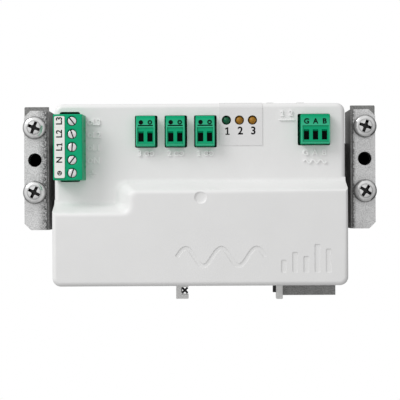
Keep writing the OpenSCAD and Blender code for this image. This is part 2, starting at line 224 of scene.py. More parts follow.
def merge(name, parts):
    """Puts several meshes into one piece."""
    bm = bmesh.new()
    for part in parts:
        bm.from_mesh(part.data)
        bpy.data.objects.remove(part)
    return from_bmesh(name, bm)


def rotated(obj, degrees, axis, centre):
    """Turns a mesh's points about a line through centre (mm)."""
    spot = Vector([c * MM for c in centre])
    turn = Matrix.Rotation(math.radians(degrees), 4, axis)
    obj.data.transform(Matrix.Translation(spot) @ turn @ Matrix.Translation(-spot))
    return obj


# ---------------------------------------------------------------- materials
PAINTED_SHADE = (0.03, 0.03, 0.03)          # the painted dark of slots and recesses
SPANGLE = 420


class Nodes:
    """Builds one node material around its Principled shader."""

    def __init__(self, name, **inputs):
        self.material = bpy.data.materials.new(name)
        self.material.use_nodes = True
        self.tree = self.material.node_tree
        self.shader = self.tree.nodes["Principled BSDF"]
        self.place = self.add("ShaderNodeTexCoord").outputs["Object"]
        for key, value in inputs.items():
            self.shader.inputs[key.replace("_", " ")].default_value = value

    def add(self, kind, **settings):
        node = self.tree.nodes.new(kind)
        for key, value in settings.items():
            setattr(node, key, value)
        return node

    def link(self, source, target):
        self.tree.links.new(source, target)

    def noise(self, scale, detail=3):
        node = self.add("ShaderNodeTexNoise")
        node.inputs["Scale"].default_value = scale
        node.inputs["Detail"].default_value = detail
        self.link(self.place, node.inputs["Vector"])
        return node.outputs["Fac"]

    def cells(self, scale):
        node = self.add("ShaderNodeTexVoronoi")
        node.inputs["Scale"].default_value = scale
        self.link(self.place, node.inputs["Vector"])
        split = self.add("ShaderNodeSeparateColor")
        self.link(node.outputs["Color"], split.inputs["Color"])
        return split.outputs["Red"]

    def ramp(self, value, low, high, start=0.3, end=0.7):
        """Maps a texture value onto a range of colours or numbers."""
        node = self.add("ShaderNodeValToRGB")
        first, last = node.color_ramp.elements
        first.position, last.position = start, end
        first.color, last.color = as_color(low), as_color(high)
        self.link(value, node.inputs["Fac"])
        return node.outputs["Color"]

    def axis(self, name):
        """The mesh's own X, Y or Z coordinate in metres."""
        split = self.add("ShaderNodeSeparateXYZ")
        self.link(self.place, split.inputs[0])
        return split.outputs[name]

    def math(self, operation, a, b=None):
        node = self.add("ShaderNodeMath", operation=operation)
        for socket, value in zip(node.inputs, (a, b)):
            if isinstance(value, (int, float)):
                socket.default_value = value
            elif value is not None:
                self.link(value, socket)
        return node.outputs[0]

    def between(self, value, start, end):
        """0 before start, 1 past end, in mm."""
        node = self.add("ShaderNodeMapRange")
        node.inputs["From Min"].default_value = start * MM
        node.inputs["From Max"].default_value = end * MM
        self.link(value, node.inputs["Value"])
        return node.outputs["Result"]

    def shade_base(self, mask, colour):
        """Where the mask is 1 the base colour turns into the given one."""
        socket = self.shader.inputs["Base Color"]
        under = socket.links[0].from_socket
        flat = self.add("ShaderNodeRGB")
        flat.outputs[0].default_value = as_color(colour)
        self.link(self.mix(mask, under, flat.outputs[0]), socket)

    def mix(self, factor, a, b):
        node = self.add("ShaderNodeMix", data_type="RGBA")
        if isinstance(factor, float):
            node.inputs[0].default_value = factor
        else:
            self.link(factor, node.inputs[0])
        self.link(a, node.inputs[6])
        self.link(b, node.inputs[7])
        return node.outputs[2]

    def bump(self, height, depth, strength=1.0):
        node = self.add("ShaderNodeBump")
        node.inputs["Strength"].default_value = strength
        node.inputs["Distance"].default_value = depth
        self.link(height, node.inputs["Height"])
        self.link(node.outputs["Normal"], self.shader.inputs["Normal"])

    def base(self, colour):
        self.link(colour, self.shader.inputs["Base Color"])

    def rough(self, value):
        self.link(value, self.shader.inputs["Roughness"])


def as_color(value):
    if isinstance(value, (int, float)):
        return (value, value, value, 1)
    return (*value, 1)


def scaled(colour, factor):
    return tuple(min(c * factor, 1.0) for c in colour)


def plastic(name, colour, roughness=0.45, grain=2600, depth=0.00003, variation=0.05, specular=0.4):
    """Moulded plastic: faint mottling, uneven gloss and a fine eroded grain."""
    m = Nodes(name, Specular_IOR_Level=specular)
    mottle = m.noise(90, 4)
    m.base(m.ramp(mottle, scaled(colour, 1 - variation), scaled(colour, 1 + variation)))
    m.rough(m.ramp(m.noise(220, 3), roughness - 0.06, roughness + 0.08))
    m.bump(m.noise(grain, 2), depth, 0.5)
    return m.material


def zinc(name, low, high, rough_low, rough_high):
    """Zinc-plated sheet: crystal spangle, cloudy oxide and fine rolling marks."""
    m = Nodes(name, Metallic=0.92)
    crystals = m.ramp(m.cells(SPANGLE), low, high, 0.0, 1.0)
    cloud = m.ramp(m.noise(160, 5), scaled(low, 0.9), scaled(high, 1.05))
    speckle = m.ramp(m.noise(2300, 4), scaled(low, 0.55), scaled(high, 1.12), 0.34, 0.62)
    m.base(m.mix(0.5, m.mix(0.4, crystals, cloud), speckle))
    m.rough(m.ramp(m.noise(900, 4), rough_low, rough_high))
    m.bump(m.noise(2300, 3), 0.00002, 0.6)
    return m.material


def metal(name, colour, roughness, scale=1800):
    """Plated or tinned metal with fine working marks."""
    m = Nodes(name, Metallic=1.0)
    m.base(m.ramp(m.noise(700, 4), scaled(colour, 0.86), scaled(colour, 1.06)))
    m.rough(m.ramp(m.noise(scale, 3), roughness - 0.04, roughness + 0.08))
    m.bump(m.noise(scale, 2), 0.000005, 0.3)
    return m.material


def painted_front_highlight(material, colour, front, back):
    """Paints the foremost faces of a moulding in a lighter tone, as a painted highlight; front and back are Y in
    mm.
    """
    m = adopt(material)
    m.shade_base(m.between(m.axis("Y"), back, front), colour)
    return material


def painted_slot_shade(material, front, back):
    """Paints shade over what lies deeper than the head's face, in a screw's slot."""
    m = adopt(material)
    m.shade_base(m.between(m.axis("Y"), front, back), PAINTED_SHADE)
    return material


def painted_recess_shade(material, radius, front, back):
    """The same painted shade for the bracket screws' cross recesses, with a painted dark ring of shade where each
    head meets its strip.
    """
    m = adopt(material)
    dx = m.math("SUBTRACT", m.math("ABSOLUTE", m.axis("X")), SCREW_X * MM)
    dz = m.math("SUBTRACT", m.math("ABSOLUTE", m.axis("Z")), SCREW_Z * MM)
    away = m.math("SQRT", m.math("ADD", m.math("MULTIPLY", dx, dx), m.math("MULTIPLY", dz, dz)))
    inside = m.between(away, radius + 0.1, radius - 0.1)
    # painted shade: a dark ring round each head's rim
    m.shade_base(m.between(away, 3.9, 4.6), (0.3, 0.3, 0.3))
    m.shade_base(m.math("MULTIPLY", inside, m.between(m.axis("Y"), front, back)), PAINTED_SHADE)
    return material


def shaded_strip_zinc(name, start, end):
    """Zinc plated sheet with a speckled painted shade that grows from X = start to X = end, in mm."""
    m = adopt(zinc(name, (0.58, 0.58, 0.58), (0.80, 0.80, 0.80), 0.36, 0.52))
    grain = m.ramp(m.noise(1900, 4), 0.15, 1.0, 0.35, 0.6)
    # painted shade towards the strip's inner edge, broken up by the noise
    m.shade_base(m.math("MULTIPLY", m.between(m.axis("X"), start, end), grain), (0.07, 0.07, 0.07))
    return m.material


def adopt(material):
    """Goes on building a material that is already made."""
    m = Nodes.__new__(Nodes)
    m.material, m.tree = material, material.node_tree
    m.shader = m.tree.nodes["Principled BSDF"]
    m.place = m.add("ShaderNodeTexCoord").outputs["Object"]
    return m


def ink(name, colour):
    """Printed ink: nearly flat, a little worn and uneven."""
    m = Nodes(name, Specular_IOR_Level=0.06)
    m.base(m.ramp(m.noise(1800, 3), colour, scaled(colour, 1.5)))
    m.rough(m.ramp(m.noise(900, 2), 0.6, 0.8))
    return m.material


def lens(name, colour):
    """Tinted diffusing lamp lens."""
    m = Nodes(name, Coat_Weight=0.15, Coat_Roughness=0.2, Specular_IOR_Level=0.25, Subsurface_Weight=0.2,
              Subsurface_Radius=(0.002, 0.002, 0.001), Subsurface_Scale=0.5)
    m.base(m.ramp(m.noise(900, 3), scaled(colour, 0.85), scaled(colour, 1.15)))
    m.rough(m.ramp(m.noise(600, 2), 0.22, 0.34))
    return m.material


def board_film(name):
    """Green solder mask over faint copper tracks."""
    m = Nodes(name, Coat_Weight=0.4, Coat_Roughness=0.2)
    tracks = m.add("ShaderNodeTexBrick")
    tracks.inputs["Scale"].default_value = 320
    tracks.inputs["Color1"].default_value = (0.012, 0.11, 0.05, 1)
    tracks.inputs["Color2"].default_value = (0.014, 0.13, 0.055, 1)
    tracks.inputs["Mortar"].default_value = (0.03, 0.19, 0.09, 1)
    m.link(m.place, tracks.inputs["Vector"])
    m.base(tracks.outputs["Color"])
    m.rough(m.ramp(m.noise(500, 3), 0.3, 0.45))
    return m.material


GREEN = (0.0, 0.36, 0.165)
MATERIALS = {
    "white_housing": plastic("housing_white", (0.79, 0.788, 0.785), 0.42, 2400, 0.00004, 0.012),
    "label_film": plastic("label_film", (0.745, 0.74, 0.74), 0.3, 900, 0.00001, 0.01),
    "board_green": board_film("board_green"),
    "component_dark": plastic("component_black", (0.03, 0.03, 0.032), 0.5, 2400, 0.00003, 0.2),
    "transformer_yellow": plastic("winding_tape", (0.60, 0.44, 0.07), 0.45, 1200, 0.00003, 0.1),
    "terminal_green": plastic("terminal_green", GREEN, 0.4, 2200, 0.00002, 0.08, 0.15),
    "tinned_metal": metal("tinned_metal", (0.42, 0.42, 0.40), 0.3),
    "led_green": lens("led_green", (0.002, 0.095, 0.04)),
    "led_amber": lens("led_amber", (0.36, 0.17, 0.012)),
    "switch_blue": plastic("switch_blue", (0.02, 0.06, 0.30), 0.4),
    "switch_white": plastic("switch_white", (0.8, 0.8, 0.78), 0.4),
    "screw_zinc": metal("screw_zinc", (0.8, 0.8, 0.8), 0.24, 2600),
    "zinc_sheet": zinc("zinc_sheet", (0.60, 0.60, 0.60), (0.80, 0.80, 0.80), 0.36, 0.52),
    "plate_steel": zinc("plate_steel", (0.19, 0.19, 0.188), (0.31, 0.31, 0.305), 0.36, 0.55),
    "latch_grey": plastic("latch_grey", (0.84, 0.84, 0.83), 0.45),
    "tongue_black": plastic("tongue_black", (0.02, 0.02, 0.022), 0.45),
    "spring_steel": metal("spring_steel", (0.5, 0.5, 0.5), 0.25),
    "marker_white": plastic("marker_white", (0.86, 0.86, 0.83), 0.5, 1500, 0.00002, 0.01),
    # the raised marks are the housing's own plastic; this lighter copy is a painted highlight on them
    "relief_white_highlight": plastic("relief_white_highlight", (0.9, 0.9, 0.895), 0.4, 2400, 0.00002, 0.012),
    # the plugs' green with a painted highlight on their foremost faces
    "signal_green_painted_highlight": painted_front_highlight(plastic("signal_green_painted_highlight", GREEN, 0.36, 2200, 0.00002, 0.08, 0.15),
                                (0.045, 0.47, 0.26), -20.99, -20.75),
    # the mains screws' zinc with painted shade in their slots
    "slotted_zinc_shaded": painted_slot_shade(metal("slotted_zinc_shaded", (0.84, 0.84, 0.84), 0.24, 2600), -25.95, -25.7),
    # the bracket screws' zinc with painted shade in the recesses and round the rims
    "cross_zinc_shaded": painted_recess_shade(metal("cross_zinc_shaded", (0.8, 0.8, 0.8), 0.2, 2600), 2.9, -6.08, -5.8),
    "clamp_strip_left": shaded_strip_zinc("strip_zinc_left", -65.5, -62.3),
    "clamp_strip_right": shaded_strip_zinc("strip_zinc_right", 63.0, 61.9),
    # printed ink, and also the black of the painted-shade bars and sheets in the signal plugs
    "ink_and_shade_black": ink("ink_and_shade_black", (0.003, 0.003, 0.003)),
}


def paint(obj, slot):
    obj.data.materials.clear()
    obj.data.materials.append(MATERIALS[slot])
    return obj


def place(obj, body, slot, *replaced, sharp=40, look=None):
    """Finishes a piece: its shading, its material, the body it rides on and the nodes it stands for."""
    paint(obj, look or slot)
    smooth(obj, sharp)
    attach(obj, body)
    if replaced:
        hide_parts(*replaced)
    return obj


# ---------------------------------------------------------------- front cover
FOOT = {"left_z": -17.6, "step_x": -32.7, "right_z": -9.1}
RUN = {"left_z": -3.7, "step_x": 5.55, "right_z": -3.65}


def step_outline(k, d):
    """The region beside the raised block; k runs from 0 at its foot to 1 at its top edge."""
    left_z = FOOT["left_z"] + RUN["left_z"] * k - d
    step_x = FOOT["step_x"] + RUN["step_x"] * k + d
    right_z = FOOT["right_z"] + RUN["right_z"] * k - d
    inner, outer = 1.2 + 2.2 * k, 4.4 - 2.0 * k
    far = 80
    return ([(-far, left_z)] + arc(step_x - inner, left_z + inner, inner, -90, 0, 10)
            + arc(step_x + outer, right_z - outer, outer, 180, 90, 10)
            + [(far, right_z), (far, far), (-far, far)])


def step_cutter(d):
    rings = []
    for y, k in ((BLOCK_Y - 1 + d, 1.1), (UPPER_Y + d, 0.0)):
        rings.append([(x, y, z) for x, z in step_outline(k, d)])
    return loft("step_cutter", rings)


def inset_outline(d):
    """The cover's outline, drawn in by d."""
    return rounded(COVER_LOW[0] + d, COVER_HIGH[0] - d, BOTTOM_Z + d, TOP_Z - d, max(CORNER_R - d, 0.8), 10)


EDGE_R = 1.9
FILLET = 1.5


def bend(start, corner, end, steps=6):
    """Points along a soft corner, as pairs."""
    points = []
    for i in range(steps + 1):
        t = i / steps
        points.append(tuple((1 - t) ** 2 * a + 2 * t * (1 - t) * b + t * t * c
                            for a, b, c in zip(start, corner, end)))
    return points


def soft_step_cutter():
    """What the raised block leaves free; its slope runs softly into the panel and into the raised face."""
    run, deep = abs(RUN["right_z"]), UPPER_Y - BLOCK_Y
    near, beyond = FILLET / math.hypot(run, deep), FILLET / run
    shares = bend((-beyond, 0), (0, 0), (near, near)) + bend((1 - near, 1 - near), (1, 1), (1 + beyond, 1))
    slope = [(UPPER_Y - deep * s, k) for k, s in reversed(shares)]
    rings = [(BLOCK_Y - 1, 1 + beyond)] + slope + [(REAR_Y + 1, -beyond)]
    return loft("step_cutter", [[(x, y, z) for x, z in step_outline(k, 0)] for y, k in rings])


def cover_shell(front_y):
    """A solid with the cover's outline and a rounded front edge."""
    rings = []
    for i in range(9):
        t = math.radians(90 * i / 8)
        rings.append((front_y + EDGE_R * (1 - math.cos(t)), EDGE_R * (1 - math.sin(t))))
    rings += [(REAR_Y - 0.2, 0.0), (REAR_Y, 0.2)]
    return loft("cover_shell", [[(x, y, z) for x, z in inset_outline(d)] for y, d in rings])


def make_cover():
    block = cover_shell(BLOCK_Y)
    cut(block, soft_step_cutter())
    cover = cover_shell(UPPER_Y)
    join(cover, block)
    clean(cover)
    hollow = prism("hollow", inset_outline(WALL), UPPER_Y + WALL, REAR_Y + 1)
    deep = prism("deep", inset_outline(WALL + 0.01), BLOCK_Y + WALL, UPPER_Y + WALL + 0.5)
    cut(deep, step_cutter(WALL))
    cut(cover, hollow, deep)
    return cover


def front_hole(name, x0, x1, z0, z1, r):
    return prism(name, rounded(x0, x1, z0, z1, r, 5), UPPER_Y - 1, UPPER_Y + WALL + 1)


PLUG_GAPS = {"data_plug": (1.1, 0.45)}      # left and right of a plug
CT_PLUG_GAPS = (0.55, 0.9)
PLUG_GAP_Z = 0.4


def plug_hole(node):
    """The opening around a signal plug; the gap is wider on one side."""
    low, high = box_mm(node)
    left, right = PLUG_GAPS.get(node, CT_PLUG_GAPS)
    return front_hole("plug_hole", low[0] - left, high[0] + right, low[2] - PLUG_GAP_Z, high[2] + PLUG_GAP_Z, 0.6)


POST_END, POST_HOLE = -4.0, -13.0           # the Y where a post ends, and where its screw hole does


def case_post(x, z, y0):
    """A screw post inside the cover, standing on the front wall whose inner face is at y0."""
    profile = [(0, y0 - 0.5), (2.8, y0 - 0.5), (2.8, POST_END), (1.55, POST_END), (1.55, POST_HOLE),
               (0, POST_HOLE)]
    return lathe("post", profile, (x, 0, z), steps=40)


SWITCH_X, SWITCH_Y = (29.1, 38.3), (-14.0, -7.0)
GUARD_W = 2.8
CASE_POSTS = ((-41, 16, UPPER_Y), (51.5, -3, UPPER_Y), (-51.5, -44, BLOCK_Y), (51.5, -44, BLOCK_Y))
MAINS_HOLE = (-54.9, -46.8, -9.1, 18.4)     # X and Z limits

cover = make_cover()
for x in (SWITCH_X[0] - GUARD_W, SWITCH_X[1]):
    guard = box("guard", (x, SWITCH_Y[0], TOP_Z - 1), (x + GUARD_W, SWITCH_Y[1], COVER_HIGH[2]))
    join(cover, bevel(guard, 0.15, 2))
cut(cover, box("switch_opening", (SWITCH_X[0], SWITCH_Y[0], TOP_Z - WALL - 1),
               (SWITCH_X[1], SWITCH_Y[1], TOP_Z + 1)))
for x, z, wall_y in CASE_POSTS:
    join(cover, case_post(x, z, wall_y + WALL))
cut(cover, front_hole("mains_hole", *MAINS_HOLE, 0.9))
for node in ("ct_plug_1", "ct_plug_2", "ct_plug_3", "data_plug"):
    cut(cover, plug_hole(node))
for x in LED_X:
    cut(cover, lathe("led_hole", [(1.85, UPPER_Y - 1), (1.85, UPPER_Y + WALL + 1)], (x, 0, LED_Z), steps=32))


# ---------------------------------------------------------------- relief and print
CAP_SHARE = 0.70            # a capital's height as a share of the font size


def raised_text(name, text, x, z, y, height, depth, turn=0.0, bolder=0.0):
    """Characters standing on a face that looks along -Y, centred on (x, z), as one mesh."""
    curve = bpy.data.curves.new(name, "FONT")
    curve.body = text
    curve.align_x, curve.align_y = "CENTER", "CENTER"
    curve.size = height / CAP_SHARE * MM
    curve.extrude = depth / 2 * MM
    curve.offset = bolder * MM
    curve.resolution_u = 4
    holder = keep(bpy.data.objects.new(name, curve))
    graph = bpy.context.evaluated_depsgraph_get()
    mesh = bpy.data.meshes.new_from_object(holder.evaluated_get(graph))
    bpy.data.objects.remove(holder)
    stand = Matrix.Rotation(math.radians(90), 4, "X")
    spin = Matrix.Rotation(math.radians(turn), 4, "Z")
    centre = Vector((x, y - depth / 2, z)) * MM
    mesh.transform(Matrix.Translation(centre) @ stand @ spin)
    return keep(bpy.data.objects.new(name, mesh))


ONE = ((-0.26, -0.5), (0.29, -0.5), (0.29, -0.35), (0.11, -0.35), (0.11, 0.5), (-0.04, 0.5),
       (-0.28, 0.37), (-0.28, 0.19), (-0.08, 0.28), (-0.08, -0.35), (-0.26, -0.35))


def figure_one(name, x, z, y, height, depth, turn=0.0):
    """The figure 1 with a foot and a flag, standing on the face at y."""
    a = math.radians(turn)
    outline = [(x + height * (u * math.cos(a) - v * math.sin(a)),
                z + height * (u * math.sin(a) + v * math.cos(a))) for u, v in ONE]
    return prism(name, outline, y - depth, y)


def disc(name, x, z, y, r, depth, steps=28):
    return lathe(name, [(r, y - depth), (r, y)], (x, 0, z), steps=steps)


def ring(name, x, z, y, r, hole, depth, steps=32):
    """A flat washer standing on the face at y."""
    bm = bmesh.new()
    loops = []
    for radius, level in ((r, y), (r, y - depth), (hole, y - depth), (hole, y)):
        loops.append([bm.verts.new(turned(radius, level, 2 * math.pi * i / steps, (x, 0, z), "y"))
                      for i in range(steps)])
    for a, b in zip(loops, loops[1:] + loops[:1]):
        for i in range(steps):
            j = (i + 1) % steps
            bm.faces.new((a[i], a[j], b[j], b[i]))
    return from_bmesh(name, bm)


def ribbon(name, points, width, y0, y1):
    """A band of even width that follows (x, z) points, as a prism along Y."""
    left, right = [], []
    for i, (x, z) in enumerate(points):
        ax, az = points[max(i - 1, 0)]
        bx, bz = points[min(i + 1, len(points) - 1)]
        length = math.hypot(bx - ax, bz - az)
        nx, nz = -(bz - az) / length * width / 2, (bx - ax) / length * width / 2
        left.append((x + nx, z + nz))
        right.append((x - nx, z - nz))
    return prism(name, left + right[::-1], y0, y1)


MARK_Y = UPPER_Y + 0.02
MARK_H = 0.6
GROOVE = 0.3


def make_cover_marks():
    """Relief beside the terminals: pole names, channel numbers and data poles, as on the object."""
    parts = []
    screws = [middle(f"mains_screw_{i}") for i in (5, 4, 3, 2, 1)]
    for spot, text in zip(screws, ("L3", "L2", "L1", "N")):
        parts.append(raised_text("mark", text, -40.4, spot[2], MARK_Y, 2.4, MARK_H, bolder=0.06))
        parts.append(ring("mark", -43.0, spot[2], MARK_Y, 0.95, 0.6, MARK_H))
    earth_z = screws[4][2]
    parts.append(box("mark", (-42.2, MARK_Y - MARK_H, earth_z), (-41.8, MARK_Y, earth_z + 1.3)))
    for i in range(3):
        half, z = 1.3 - 0.45 * i, earth_z - 0.65 * i
        parts.append(box("mark", (-42 - half, MARK_Y - MARK_H, z - 0.18), (-42 + half, MARK_Y, z + 0.18)))
    for node, text in (("ct_plug_1", "3"), ("ct_plug_2", "2"), ("ct_plug_3", "1")):
        x = middle(node)[0]
        if text == "1":
            parts.append(figure_one("mark", x - 2.4, 1.9, MARK_Y, 2.3, MARK_H))
        else:
            parts.append(raised_text("mark", text, x - 2.4, 1.9, MARK_Y, 2.3, MARK_H, bolder=0.06))
        parts.append(ring("mark", x + 0.5, 1.9, MARK_Y, 1.05, 0.68, MARK_H))
        parts.append(ring("mark", x + 2.3, 1.9, MARK_Y, 1.05, 0.68, MARK_H))
    x = middle("data_plug")[0]
    for i, text in enumerate("GAB"):
        parts.append(raised_text("mark", text, x + (i - 1) * 3.6, 1.9, MARK_Y, 2.2, MARK_H, bolder=0.06))
    wave = [(x - 4.5 + i * 0.225, -1.5 + 0.7 * math.sin(i / 40 * 6 * math.pi)) for i in range(41)]
    parts.append(ribbon("mark", wave, 0.4, MARK_Y - MARK_H, MARK_Y))
    parts.append(figure_one("mark", 32.4, 17.4, MARK_Y, 2.2, MARK_H))
    parts.append(raised_text("mark", "2", 35.8, 17.4, MARK_Y, 2.2, MARK_H, bolder=0.06))
    parts.append(box("mark", (31.2, MARK_Y - MARK_H, 14.6), (37.2, MARK_Y, 15.0)))
    return merge("cover_marks", parts)


def cut_front_motif():
    """A plain wave and bars sunk into the raised face, and the small round recess above them."""
    z, x0, span = -38.3, -9.0, 34.0
    wave = [(x0 + span * i / 90, z + 3.4 * math.sin(2 * math.pi * 2.5 * i / 90)) for i in range(91)]
    tools = [ribbon("motif", wave, 1.7, BLOCK_Y - 1, BLOCK_Y + GROOVE)]
    for i, tall in enumerate((5.0, 8.0, 6.4, 11.0, 9.2)):
        x = 31.0 + i * 4.3
        bar = rounded(x, x + 2.2, z - 6.2, z - 6.2 + tall, 0.6, 4)
        tools.append(prism("motif", bar, BLOCK_Y - 1, BLOCK_Y + GROOVE))
    for tool in tools:
        clean(tool, 0.1)
    cut(cover, *tools)
    bowl = [(r, BLOCK_Y + d) for r, d in ((0.0, 0.5), (1.4, 0.5), (2.1, 0.35), (2.45, 0.05), (2.6, -1))]
    cut(cover, lathe("recess", bowl, (0.2, 0, -15.4), steps=40))


# ---------------------------------------------------------------- green plugs
MAINS_LOW, MAINS_HIGH = box_mm("mains_plug")
MAINS_SPOTS = [middle(f"mains_screw_{i}") for i in range(1, 6)]


def make_mains_plug():
    x0, y0, z0 = MAINS_LOW
    x1, z1 = MAINS_HIGH[0], MAINS_HIGH[2]
    back = UPPER_Y - 0.3
    ring_of = [(x0, y0), (x1 - 0.6, y0), (x1, back), (x0, back)]
    head = loft("mains_head", [[(x, y, z) for x, y in ring_of] for z in (z0, z1)])
    clean(head, 0.1)
    bevel(head, 0.28, 3, 30)
    neck = box("neck", (-53.6, back - 0.7, z0 + 1.1), (-48.1, MAINS_HIGH[1], z1 - 1.1))
    bevel(neck, 0.25, 2)
    join(head, neck)
    cut(head, prism("strip_seat", rounded(-56.0, -51.8, -7.8, 16.2, 0.2, 3), y0 - 1, y0 + 0.12))
    for x, _, z in MAINS_SPOTS:
        well = [(2.15, y0 - 1), (2.15, y0), (1.92, y0 + 0.2), (1.9, y0 + 1.5), (1.4, y0 + 1.5), (1.4, y0 + 3)]
        cut(head, lathe("well", well, (x, 0, z), steps=40))
        cut(head, box("chamber", (x - 2.2, y0 + 2.3, z - 2.1), (x + 2.2, y0 + 8.5, z + 2.1)))
        rings = []
        for at, near, far, half in ((x0 - 1, 3.5, 6.9, 1.95), (x0 + 0.9, 3.8, 6.6, 1.65), (x, 3.8, 6.6, 1.65)):
            rings.append([(at, y0 + near, z - half), (at, y0 + far, z - half), (at, y0 + far, z + half),
                          (at, y0 + near, z + half)])
        cut(head, loft("entry", rings))
        cut(head, box("pin_socket", (-51.65, -15, z - 0.8), (-50.05, -6, z + 0.8)))
    for a, b in zip(MAINS_SPOTS, MAINS_SPOTS[1:]):
        z = (a[2] + b[2]) / 2
        cut(head, box("rib_gap", (x1 - 0.35, y0 - 1, z - 0.22), (x1 + 1, back - 0.8, z + 0.22)))
        cut(head, box("side_gap", (x0 - 1, y0 + 1.2, z - 0.2), (x0 + 0.3, back - 0.6, z + 0.2)))
    return head


def make_marker_strip():
    low, high = box_mm("marker_strip")
    outline = rounded(low[0], high[0], low[2], high[2], 0.55, 5)
    strip = prism("marker_card", outline, low[1] + 0.04, high[1] + 0.1)
    clean(strip, 0.1)
    bevel(strip, 0.08, 2, 40)
    for a, b in zip(MAINS_SPOTS, MAINS_SPOTS[1:]):
        z = (a[2] + b[2]) / 2
        cut(strip, box("score", (low[0] - 1, low[1] - 1, z - 0.06), (high[0] + 1, low[1] + 0.1, z + 0.06)))
    return strip


def make_marker_text():
    low, high = box_mm("marker_strip")
    x, y = (low[0] + high[0]) / 2, low[1] + 0.05
    parts = []
    for spot, text in zip(reversed(MAINS_SPOTS), ("L3", "L2", "L1", "N")):
        if text == "L1":
            parts.append(raised_text("print", "L", x, spot[2] - 0.75, y, 2.25, 0.04, turn=90, bolder=0.08))
            parts.append(figure_one("print", x, spot[2] + 0.95, y, 2.25, 0.04, turn=90))
        else:
            parts.append(raised_text("print", text, x, spot[2] + 0.1, y, 2.25, 0.04, turn=90, bolder=0.08))
    z = MAINS_SPOTS[0][2]
    parts.append(ring("print", x, z, y, 0.9, 0.55, 0.04))
    parts.append(box("print", (x - 0.62, y - 0.04, z - 0.2), (x + 0.62, y, z + 0.12)))
    parts.append(box("print", (x - 0.15, y - 0.04, z + 0.12), (x + 0.15, y, z + 0.62)))
    return merge("marker_print", parts)


SIGNAL_Y = box_mm("ct_plug_1")[0][1]
SIGNAL_SCREW_Y = middle("ct_screw_1")[1]


CT_PLUGS = ("ct_plug_1", "ct_plug_2", "ct_plug_3")
CT_SCREWS = [f"ct_screw_{i}" for i in range(1, 7)]
DATA_SCREWS = [f"data_screw_{i}" for i in (1, 2, 3)]


def signal_poles(node):
    """The X of each wire entry of a signal plug."""
    first = 2 * CT_PLUGS.index(node) if node in CT_PLUGS else 0
    screws = CT_SCREWS[first:first + 2] if node in CT_PLUGS else DATA_SCREWS
    return [middle(screw)[0] for screw in screws]


def make_signal_plug(node):
    """Front-entry plug: side rails, a bottom lip, funnelled entries and a stepped top edge."""
    low, high = box_mm(node)
    x0, x1, z0, z1 = low[0], high[0], low[2], high[2]
    y0, zc = low[1], (low[2] + high[2]) / 2
    rail, lip = 0.5, 1.0
    shelf_z = zc + 1.2
    step = [(y0, z0 + 0.35), (y0, shelf_z), (y0 + 0.2, z1 - 1.15), (y0 + 0.55, z1 - 1.0), (y0 + 0.55, z1),
            (-12.8, z1), (-12.8, z0), (y0 + 0.3, z0)]
    plug = loft("shell", [[(x, y, z) for y, z in step] for x in (x0, x1)])
    clean(plug, 0.1)
    bevel(plug, 0.2, 3, 20)
    neck = box("neck", (x0 + 0.5, -13.5, z0 + 0.9), (x1 - 0.5, high[1], z1 - 0.9))
    join(plug, neck)
    floor_y = y0 + 0.38
    cut(plug, box("front_panel", (x0 + rail, y0 - 1, z0 + lip), (x1 - rail, floor_y, shelf_z + 0.25)))
    if node != "data_plug":
        cut(plug, box("groove", (x0 + 0.75, y0 - 1, shelf_z + 0.7), (x1 - 0.75, y0 + 0.75, shelf_z + 1.2)))
    cut(plug, box("lip_line", (x0 + 0.35, y0 - 1, z0 + 0.72), (x1 - 0.35, y0 + 0.25, z0 + 0.9)))
    for x in signal_poles(node):
        w, a, b = 1.06, zc - 4.1, zc - 0.2
        rings = []
        for y, top in ((floor_y - 0.6, b + 0.5), (floor_y + 1.0, b - 0.5), (y0 + 4, b - 0.5)):
            rings.append([(x - w, y, a), (x + w, y, a), (x + w, y, top), (x - w, y, top)])
        cut(plug, loft("entry", rings))
        cut(plug, box("chamber", (x - 1.5, y0 + 1.6, zc - 4.8), (x + 1.5, y0 + 4.9, zc + 3.6)))
        cut(plug, lathe("screw_hole", [(1.3, zc), (1.3, z1 - 0.1), (1.5, z1 + 0.1), (1.5, z1 + 1)],
                        (x, SIGNAL_SCREW_Y, 0), axis="z", steps=32))
        cut(plug, box("pin_socket", (x - 0.7, -14, zc - 2.9), (x + 0.7, -6, zc - 1.5)))
    return plug


def entry_shades(node):
    """Thin black sheets inside the wire entries. They aren't real pieces: they only make the entries dark."""
    low, high = box_mm(node)
    zc = (low[2] + high[2]) / 2
    return [box("shade", (x - 1.02, SIGNAL_Y + 1.7, zc - 4.2), (x + 1.02, SIGNAL_Y + 1.8, zc - 0.15))
            for x in signal_poles(node)]


def make_polarity_marks(node):
    """A dot over the first pole, a ring over the second, and a thin black bar of painted shade in the groove; the
    entries' black sheets of painted shade go in too.
    """
    poles, z = signal_poles(node), 13.9
    y = SIGNAL_Y + 0.13
    parts = [disc("print", poles[0], z, y, 0.86, 0.12), ring("print", poles[1], z, y, 0.88, 0.42, 0.12)]
    low, high = box_mm(node)
    groove_z = (low[2] + high[2]) / 2 + 1.9
    # painted shade: a black bar down in the groove
    parts.append(box("shade", (low[0] + 0.78, SIGNAL_Y + 0.45, groove_z + 0.02),
                     (high[0] - 0.78, SIGNAL_Y + 0.7, groove_z + 0.48)))
    return merge(node + "_polarity_and_shade", parts + entry_shades(node))


def make_data_letters():
    parts = [raised_text("print", text, x, 14.0, SIGNAL_Y + 0.13, 2.0, 0.12, bolder=0.08)
             for x, text in zip(signal_poles("data_plug"), "GAB")]
    # the entries' black sheets of painted shade go in with the letters
    return merge("data_plug_letters_and_shade", parts + entry_shades("data_plug"))


